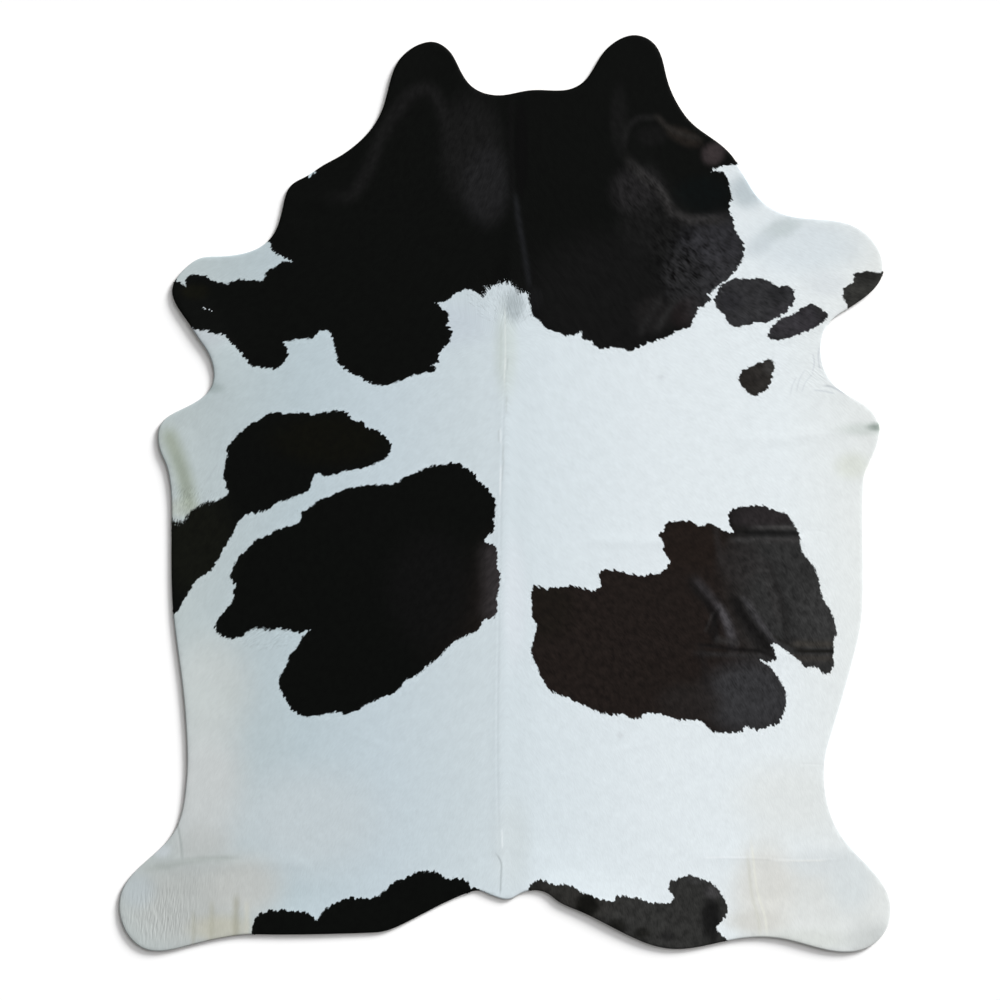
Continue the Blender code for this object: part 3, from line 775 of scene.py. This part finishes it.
# The way into the black from each point of a border, evened out over a few points.
inward = []
for border in borders:
    run = np.roll(border, -BORDER_EVENING, axis=0) - np.roll(border, BORDER_EVENING, axis=0)
    normal = np.column_stack([-run[:, 1], run[:, 0]]) / np.linalg.norm(run, axis=1)[:, None]
    area = (border[:, 0] * np.roll(border[:, 1], -1) - border[:, 1] * np.roll(border[:, 0], -1)).sum()
    inward.append(normal * np.sign(area))
inward = np.vstack(inward)


def into_black(places):
    """How far inside a black patch each place is, and how squarely the hair runs into the black."""
    within = np.zeros(len(places), bool)
    for border in borders:
        low, high = border.min(axis=0), border.max(axis=0)
        near = np.flatnonzero(((places > low) & (places < high)).all(axis=1))
        within[near] |= inside(places[near], border)
    gap, number = gap_to(places, border_points)
    facing = (inward[number] * np.column_stack([flow_x.at(places), flow_y.at(places)])).sum(axis=1)
    return np.where(within, gap, -gap), facing


def extra_length(places):
    """How much longer the hair is at each place, as a share."""
    pixels = pixels_of(places)
    return sum(more * shade_weight(pixels, x, y, wide, long) for x, y, wide, long, more in LONG_HAIR)


# The height of the coat's top before it rolls over at the cut edge.
top = HideMap(TOP_STEP)
top_places = top.places()
height = lie.at(top_places) + SKIN + HAIR
crests = [smooth_path(placed(crest), BORDER_STEP, closed=False) for _, _, _, crest in CREASES]
for (_name, crest_height, half_width, _crest), path in zip(CREASES, crests):
    height += crest_height * MM * line_weight(top_places, path, half_width * MM)
top.values[:] = height.reshape(top.x.shape)
shade_lines = {
    tone: [smooth_path(placed(line), BORDER_STEP, closed=False) for _, _, _, line in lines]
    for tone, lines in (("white", WHITE_STAINS_AND_PAINTED_SHADE_LINES), ("black", BLACK_PAINTED_SHEEN_AND_SHADE_LINES))
}


def roll_drop(share):
    """How far the hair has rolled down at a share of the roll's width in from the cut edge."""
    return HAIR * (1 - np.sqrt(1 - (1 - share) ** 2))


def coat_top(places):
    """Height of the hair's surface at each place."""
    return top.at(places) - roll_drop(np.clip(from_cut.at(places) / HAIR_ROLL, 0, 1))


def coat_look(places):
    """What the coat's material reads at each place, by name."""
    pixels = pixels_of(places)
    stops = np.array([x for x, _ in WHITE_PAINTED_SHEEN_ACROSS], float)
    ramp = np.array([linear(colour)[:3] for _, colour in WHITE_PAINTED_SHEEN_ACROSS])
    white = np.column_stack([np.interp(pixels[:, 0], stops, ramp[:, channel]) for channel in range(3)])
    black = np.tile(linear(BLACK)[:3], (len(places), 1))
    for name, tone, shades, lines in (("white", white, WHITE_STAINS_AND_PAINTED_SHADE_OVALS, WHITE_STAINS_AND_PAINTED_SHADE_LINES),
                                      ("black", black, BLACK_TONE_AND_PAINTED_SHEEN_OVALS, BLACK_PAINTED_SHEEN_AND_SHADE_LINES)):
        for x, y, wide, long, turn, colour, strength in shades:
            share = strength * shade_weight(pixels, x, y, wide, long, turn, SHADE_CORES[name])[:, None]
            tone += share * (np.array(linear(colour)[:3]) - tone)
        for (half_width, colour, strength, _line), path in zip(lines, shade_lines[name]):
            share = strength * line_weight(places, path, half_width * PIXEL)[:, None]
            tone += share * (np.array(linear(colour)[:3]) - tone)
    lustre = np.full(len(places), LUSTRE)
    for x, y, wide, long, strength in LUSTRE_SHADES:
        lustre += (strength - LUSTRE) * shade_weight(pixels, x, y, wide, long, core=LUSTRE_CORE)
    wrinkled = np.zeros(len(places))
    for x, y, wide, long, strength in WRINKLED:
        wrinkled += strength * shade_weight(pixels, x, y, wide, long)
    depth, facing = into_black(places)
    return {
        "white": (white - HAIR_SHEEN) / STUDIO_LIGHT,
        "black": np.maximum(black - HAIR_SHEEN, DARKEST) / STUDIO_LIGHT,
        "lustre": lustre,
        "wrinkled": wrinkled,
        "into_black": depth / MM,
        "facing": facing * (1 + extra_length(places)),
        "comb": np.column_stack([across.at(places), along.at(places), np.zeros(len(places))]),
    }


def dress(piece, look):
    """Writes what coat_look() gives to a piece's points."""
    for name, values in look.items():
        kind = "FLOAT_VECTOR" if values.ndim == 2 else "FLOAT"
        attribute = piece.data.attributes.new(name, kind, "POINT")
        field = "vector" if values.ndim == 2 else "value"
        attribute.data.foreach_set(field, np.asarray(values, np.float32).ravel())


def map_flat(piece):
    """Lays the piece's texture map out as seen from above, the whole hide in one square."""
    mesh = piece.data
    points = np.empty(3 * len(mesh.vertices))
    mesh.vertices.foreach_get("co", points)
    corners = np.empty(len(mesh.loops), np.int32)
    mesh.loops.foreach_get("vertex_index", corners)
    places = points.reshape(-1, 3)[corners, :2]
    size = (cad_high.y - cad_low.y) + 2 * MAP_MARGIN
    layer = mesh.uv_layers.new(name=TEXTURE_MAP)
    layer.uv.foreach_set("vector", (places / size + 0.5).astype(np.float32).ravel())


# Combed cow hair: each hair is 0.05 mm thick and glossy, but thousands of them side by side look
# satin, with streaks along the way they lie. Hairs are too fine to show, so the finest streaks are
# drawn 2.4 mm wide. At a patch's border the locks overlap in teeth and scales, 6 to 9 mm wide.
STREAKS = {  # width and length in millimetres, and how much finer detail it has
    "tooth": (6.4, 40, 0),
    "scale": (9, 10, 2),
    "tip": (2.4, 16, 0),
    "lock": (2.6, 12, 0),
    "mottle": (14, 20, 3),
    "cloud": (24, 34, 1),
    "wrinkle": (4.6, 26, 1),
}
NOISE_RANGE = (0.28, 0.72)  # that nearly all of a noise's values lie in
# How far streaks shift the border between the colours, in millimetres: the first two only where
# the hair runs over the border, and the other two everywhere.
TOOTH_LEAD, TIP_LEAD = 2.8, 1.2
SCALE_SHIFT, TIP_SHIFT = 2.0, 0.4
BORDER_BLEND = 1.6  # millimetres on either side of the border over which the colours blend
# How much streaks count in the light of a colour: in the fine pattern, then in white and in black.
LOCK_TINT, TIP_TINT = 0.5, 0.5
WHITE_FINE, WHITE_CLOUD, WHITE_MOTTLE = 0.15, 0.018, 0.012
BLACK_FINE, BLACK_MOTTLE = 0.8, 1
WHITE_ROUGHNESS, BLACK_ROUGHNESS = 0.65, 0.5
LOCK_RELIEF, WRINKLE_RELIEF = 0.012, 0.32  # millimetres

combed_hair = bpy.data.materials.new("combed_cow_hair")
combed_hair.use_nodes = True
tree = combed_hair.node_tree
surface = tree.nodes["Principled BSDF"]
surface.inputs["IOR"].default_value = 1.55
surface.inputs["Specular IOR Level"].default_value = 0.05
surface.inputs["Sheen Weight"].default_value = 0.02
read = {
    name: add_node(tree, "ShaderNodeAttribute", {"attribute_name": name})
    for name in ("white", "black", "lustre", "wrinkled", "into_black", "facing", "comb")
}
low, high = NOISE_RANGE
streak = {}
for name, (wide, long, detail) in STREAKS.items():
    stretched = add_node(tree, "ShaderNodeVectorMath", {"operation": "MULTIPLY", 1: (1 / wide, 1 / long, 1)},
                         {0: read["comb"].outputs["Vector"]})
    noise = add_node(tree, "ShaderNodeTexNoise", {"noise_dimensions": "2D", "Scale": 1, "Detail": detail},
                     {"Vector": stretched.outputs[0]})
    streak[name] = add_node(tree, "ShaderNodeMapRange",
                            {"From Min": low, "From Max": high, "To Min": -1, "To Max": 1},
                            {"Value": noise.outputs["Fac"]}).outputs["Result"]


def sum_of(*parts):
    """A chain of nodes that adds up outputs, each times its own number."""
    total = None
    for output, times in parts:
        operation, before = ("MULTIPLY", {}) if total is None else ("MULTIPLY_ADD", {2: total})
        node = add_node(tree, "ShaderNodeMath", {"operation": operation, 1: times}, {0: output, **before})
        total = node.outputs["Value"]
    return total


def product_of(one, other):
    """A node that multiplies two outputs."""
    return add_node(tree, "ShaderNodeMath", {"operation": "MULTIPLY"}, {0: one, 1: other}).outputs["Value"]


def lit(colour, uneven):
    """Nodes that lighten a colour by an uneven share of itself, which may be less than nothing."""
    gain = add_node(tree, "ShaderNodeMath", {"operation": "ADD", 1: 1}, {0: uneven})
    scaled = add_node(tree, "ShaderNodeVectorMath", {"operation": "SCALE"},
                      {0: colour.outputs["Vector"], "Scale": gain.outputs["Value"]})
    return scaled.outputs["Vector"]


# The hair at a place is rooted up to a tooth's length further up the coat.
reach = sum_of((streak["tooth"], TOOTH_LEAD), (streak["tip"], TIP_LEAD))
lead = product_of(reach, read["facing"].outputs["Fac"])
root = sum_of((read["into_black"].outputs["Fac"], 1), (lead, -1), (streak["scale"], SCALE_SHIFT),
              (streak["tip"], TIP_SHIFT))
is_black = add_node(
    tree, "ShaderNodeMapRange",
    {"interpolation_type": "SMOOTHSTEP", "From Min": -BORDER_BLEND, "From Max": BORDER_BLEND},
    {"Value": root},
).outputs["Result"]
# Painted sheen: the streaks and mottling lighten and darken the base colour, most where the lustre is high.
fine = sum_of((streak["lock"], LOCK_TINT), (streak["tip"], TIP_TINT))
mixed = sum_of((fine, BLACK_FINE), (streak["mottle"], BLACK_MOTTLE))
white_fine, black_uneven = (product_of(part, read["lustre"].outputs["Fac"]) for part in (fine, mixed))
white_uneven = sum_of((white_fine, WHITE_FINE), (streak["cloud"], WHITE_CLOUD),
                      (streak["mottle"], WHITE_MOTTLE))
colour = add_node(tree, "ShaderNodeMix", {"data_type": "RGBA"},
                  {0: is_black, 6: lit(read["white"], white_uneven), 7: lit(read["black"], black_uneven)})
tree.links.new(colour.outputs[2], surface.inputs["Base Color"])
gloss = add_node(tree, "ShaderNodeMapRange", {"To Min": WHITE_ROUGHNESS, "To Max": BLACK_ROUGHNESS},
                 {"Value": is_black})
tree.links.new(gloss.outputs["Result"], surface.inputs["Roughness"])
wrinkle = product_of(streak["wrinkle"], read["wrinkled"].outputs["Fac"])
relief_height = sum_of((streak["lock"], LOCK_RELIEF), (wrinkle, WRINKLE_RELIEF))
relief = add_node(tree, "ShaderNodeBump", {"Strength": 1, "Distance": MM}, {"Height": relief_height})
tree.links.new(relief.outputs["Normal"], surface.inputs["Normal"])

# The coat's mesh: rings that roll over the cut edge, then a staggered grid that is finer near
# the patches' borders, the creases and the lines of shade.
cut_run = np.roll(cut_edge, -1, axis=0) - np.roll(cut_edge, 1, axis=0)
cut_inward = np.column_stack([-cut_run[:, 1], cut_run[:, 0]]) / np.linalg.norm(cut_run, axis=1)[:, None]
rings = [cut_edge + cut_inward * HAIR_ROLL * share for share in ROLL_RINGS]
# How far each place is from what the finer grids have to show.
lines = crests + shade_lines["white"] + shade_lines["black"]
half_widths = [half_width * MM for _, _, half_width, _ in CREASES]
half_widths += [half_width * PIXEL for half_width, _, _, _ in WHITE_STAINS_AND_PAINTED_SHADE_LINES + BLACK_PAINTED_SHEEN_AND_SHADE_LINES]
narrow_lines = [line for line, half_width in zip(lines, half_widths) if half_width < NARROW]
to_detail, to_line = HideMap(LIE_STEP), HideMap(LIE_STEP)
for distance, shown in ((to_detail, lines + borders), (to_line, narrow_lines)):
    distance.values[:] = nearest(distance.places(), np.vstack(shown))[0].reshape(distance.x.shape)
inner = np.empty((0, 2))
for step, target in ((COAT_STEP, None), (COAT_STEP / 2, to_detail), (COAT_STEP / 4, to_line)):
    # Each grid holds the points of the one before, and these are joined below. Points nearer to
    # the last ring would make slivers.
    places = staggered(step)
    places = places[from_cut.at(places) > HAIR_ROLL + step / 3]
    if target is not None:
        places = places[target.at(places) < FINE_BAND]
    inner = np.vstack([inner, places])
inner = np.unique(inner.round(PLACE_DIGITS), axis=0)
flat = np.vstack([*rings, inner])
edge_count = len(cut_edge)
last_ring = (len(rings) - 1) * edge_count
faces = [filled(rings[-1], inner) + last_ring]
for number in range(len(rings) - 1):
    outer = np.arange(edge_count) + number * edge_count
    faces.append(band(outer, outer + edge_count))
height = coat_top(flat)
for number, share in enumerate(ROLL_RINGS):
    ring = slice(number * edge_count, (number + 1) * edge_count)
    height[ring] = top.at(flat[ring]) - roll_drop(share)
coat = add_piece("hair_coat", np.column_stack([flat, height]), np.vstack(faces), combed_hair)
dress(coat, coat_look(flat))
map_flat(coat)
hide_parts("hide")

# --------------------------------------------------------------------------------------- locks
# Single locks of the same hair, still in the skin, that stand a little out of the coat. They show
# where the colours meet, because there each carries its own colour a little over the border.

LOCK_SEED = 7
LOCKS_PER_STEP = 4  # on each BORDER_STEP of a patch's border
LOCK_BAND = 10 * MM  # they are rooted up to this far from the border
LOCK_LENGTHS = (7 * MM, 12 * MM)
LOCK_WIDTHS = (3 * MM, 6 * MM)
LOCK_LEANS = (-12, 12)  # degrees from the way the coat lies
LOCK_RISES = (0.1 * MM, 0.4 * MM)
LOCK_SHADES = (0.96, 1.04)  # times the coat's own colour
LOCK_CARRY = 0.9  # millimetres that a lock carries its colour over the border, at most
LONG_LOCK = 0.6  # how much of the extra length of longer hair a lock takes
MOST_OVERHANG = 2 * MM  # past the cut edge
LOOSE_FROM = 0.3  # share of extra length from which the hair lies in loose strands and not in locks
# A lock's points: share of its length, share of its width, and height as a share of its rise, or,
# where it is less than nothing, in millimetres under the coat.
LOCK_POINTS = [
    (0, -0.4, -0.3), (0, 0.4, -0.3), (0.45, -0.5, -0.12), (0.45, 0, 1), (0.45, 0.5, -0.12),
    (0.8, -0.36, -0.04), (0.8, 0.36, -0.04), (1, 0, 0.2),
]
LOCK_MIDDLE = 3  # the number of the point in its middle
LOCK_TRIANGLES = [(0, 3, 1), (0, 2, 3), (1, 3, 4), (2, 5, 3), (3, 5, 6), (3, 6, 4), (5, 7, 6)]


def add_locks(name, roots, length_share=1, width_share=1, shades=LOCK_SHADES):
    """Blunt overlapping locks: each a low ridge with a root, a middle and a tip."""
    extra = extra_length(roots)
    long, wide, lean, rise, carry = (draw.uniform(*ends, len(roots)) for ends in (
        LOCK_LENGTHS, LOCK_WIDTHS, LOCK_LEANS, LOCK_RISES, (-LOCK_CARRY, LOCK_CARRY)))
    long *= length_share * (1 + LONG_LOCK * extra)
    wide *= width_share
    turn = np.radians(lean)
    x, y = flow_x.at(roots), flow_y.at(roots)
    run = np.column_stack([x * np.cos(turn) - y * np.sin(turn), x * np.sin(turn) + y * np.cos(turn)])
    run /= np.linalg.norm(run, axis=1)[:, None]
    kept = from_cut.at(roots + run * long[:, None]) > -MOST_OVERHANG
    roots, run, long, wide, rise, carry = (values[kept] for values in (roots, run, long, wide, rise, carry))
    across_run = np.column_stack([-run[:, 1], run[:, 0]])
    spots = []
    for along_share, side, height in LOCK_POINTS:
        place = roots + run * (long * along_share)[:, None] + across_run * (wide * side)[:, None]
        lift = rise * height if height > 0 else height * MM
        spots.append(np.column_stack([place, coat_top(place) + lift]))
    points = np.stack(spots, axis=1).reshape(-1, 3)
    first = len(LOCK_POINTS) * np.arange(len(roots))[:, None, None]
    piece = add_piece(name, points, (np.array(LOCK_TRIANGLES)[None] + first).reshape(-1, 3), combed_hair)
    look = coat_look(points[:, :2])
    shade = np.repeat(draw.uniform(*shades, (len(roots), 1)), len(LOCK_POINTS), axis=0)
    look["white"] = look["white"] * shade
    look["black"] = look["black"] * shade
    look["into_black"] = look["into_black"] + np.repeat(carry, len(LOCK_POINTS))
    return piece, look


draw = np.random.default_rng(LOCK_SEED)
roots = np.repeat(border_points, LOCKS_PER_STEP, axis=0)
roots = roots + draw.uniform(-1, 1, roots.shape) * BORDER_STEP
roots += np.repeat(inward, LOCKS_PER_STEP, axis=0) * draw.uniform(-LOCK_BAND, LOCK_BAND, (len(roots), 1))
roots = roots[(from_cut.at(roots) > HAIR_ROLL) & (extra_length(roots) < LOOSE_FROM)]
border_locks, look = add_locks("border_hair_locks", roots)
dress(border_locks, look)
map_flat(border_locks)

# -------------------------------------------------------------------------------- white tufts
# Short white locks that grow in the black, in four small tufts at the left shoulder and in one at
# the neck's left border. They are rooted and lie as the other locks do.

# Pixel and reach in pixels.
WHITE_TUFTS = [
    (204.8, 307, 0.7), (206.3, 308.6, 0.9), (210.6, 309, 0.7), (212.6, 310.4, 0.8), (311.5, 175, 1.2),
]
TUFT_LOCKS = 3  # in each tuft
TUFT_SPREAD = 0.7  # share of the reach within which they are rooted
TUFT_LENGTH, TUFT_WIDTH = 0.5, 0.5  # as shares of a border lock's
WHOLLY_WHITE = -50  # millimetres into the black, as if nothing of it were near

tufts = np.vstack([
    placed((x, y)) + reach * PIXEL * draw.uniform(-TUFT_SPREAD, TUFT_SPREAD, (TUFT_LOCKS, 2))
    for x, y, reach in WHITE_TUFTS
])
white_tufts, look = add_locks("white_hair_tufts", tufts, TUFT_LENGTH, TUFT_WIDTH)
look["into_black"][:] = WHOLLY_WHITE
dress(white_tufts, look)
map_flat(white_tufts)

# -------------------------------------------------------------------------------- long strands
# Where the hair is longer, at the parting on the withers, at the left flank and at the lower left of
# the large left patch, it lies in thin loose strands that cross a patch's border. They are rooted
# as the locks are. Each has one colour, that of its middle.

STRAND_DENSITY = 0.05 / MM**2  # on each square metre of longer hair
STRAND_LENGTH, STRAND_WIDTH = 1.5, 0.5  # as shares of a border lock's
STRAND_SHADES = (0.84, 1.1)  # times the coat's own colour

strands = []
for x, y, wide, long, _more in LONG_HAIR:
    count = round(STRAND_DENSITY * math.pi * wide * long * PIXEL**2)
    turn = draw.uniform(0, 2 * math.pi, count)
    out = np.sqrt(draw.uniform(0, 1, count))
    strands.append(placed(np.column_stack([x + wide * out * np.cos(turn), y + long * out * np.sin(turn)])))
strands = np.vstack(strands)
strands = strands[from_cut.at(strands) > HAIR_ROLL]
long_strands, look = add_locks("long_hair_strands", strands, STRAND_LENGTH, STRAND_WIDTH, STRAND_SHADES)
middles = look["into_black"].reshape(-1, len(LOCK_POINTS))[:, LOCK_MIDDLE]
look["into_black"] = np.repeat(middles, len(LOCK_POINTS))
look["facing"][:] = 0
dress(long_strands, look)
map_flat(long_strands)

# --------------------------------------------------------------------------------------- floor
# The studio's floor, painted matt white, far larger than the rug.

FLOOR_HALF = 30.0  # from its middle to each side
floor_mesh = bpy.data.meshes.new("studio_floor")
floor_mesh.from_pydata([(-FLOOR_HALF, -FLOOR_HALF, 0), (FLOOR_HALF, -FLOOR_HALF, 0),
                        (FLOOR_HALF, FLOOR_HALF, 0), (-FLOOR_HALF, FLOOR_HALF, 0)], [], [(0, 1, 2, 3)])
floor = bpy.data.objects.new("studio_floor", floor_mesh)
bpy.context.scene.collection.objects.link(floor)
paint = bpy.data.materials.new("matt_white_floor_paint")
paint.use_nodes = True
surface = paint.node_tree.nodes["Principled BSDF"]
surface.inputs["Base Color"].default_value = linear("#f8f8f8")
surface.inputs["Roughness"].default_value = 0.95
surface.inputs["Specular IOR Level"].default_value = 0.0
floor_mesh.materials.append(paint)

# ---------------------------------------------------------------------------- light and camera
# A long low light and a broad high one, both from the upper right, in a dim white room. The camera
# hangs straight over the rug on a long lens, as in the photograph.

KEY_BEARING = 45  # degrees from the right towards the neck
STUDIO_LAMPS = {  # degrees over the floor, degrees across, and share of all the light on the floor
    "low_soft_light": (20, 18, 0.5),
    "high_broad_light": (40, 50, 0.28),
}
PICTURE_PX = 1000
LENS, SENSOR = 100, 36  # millimetres

scene = bpy.context.scene
scene.view_settings.view_transform = "Standard"
room_share = 1 - sum(share for _, _, share in STUDIO_LAMPS.values())
world = bpy.data.worlds.new("studio_room")
world.use_nodes = True
world.node_tree.nodes["Background"].inputs["Color"].default_value = (1, 1, 1, 1)
world.node_tree.nodes["Background"].inputs["Strength"].default_value = STUDIO_LIGHT * room_share
scene.world = world
bearing = math.radians(KEY_BEARING)
for name, (rise, width, share) in STUDIO_LAMPS.items():
    rise = math.radians(rise)
    lamp = bpy.data.lights.new(name, "SUN")
    lamp.angle = math.radians(width)
    lamp.energy = STUDIO_LIGHT * share * math.pi / math.sin(rise)
    lamp_object = bpy.data.objects.new(name, lamp)
    towards = Vector((math.cos(bearing), math.sin(bearing), math.tan(rise)))
    lamp_object.rotation_euler = towards.to_track_quat("Z", "Y").to_euler()
    scene.collection.objects.link(lamp_object)

camera = bpy.data.objects.new("camera", bpy.data.cameras.new("camera"))
camera.data.lens, camera.data.sensor_width = LENS, SENSOR
camera.location = (*placed((PICTURE_PX / 2, PICTURE_PX / 2)), PICTURE_PX * PIXEL * LENS / SENSOR)
scene.collection.objects.link(camera)
scene.camera = camera
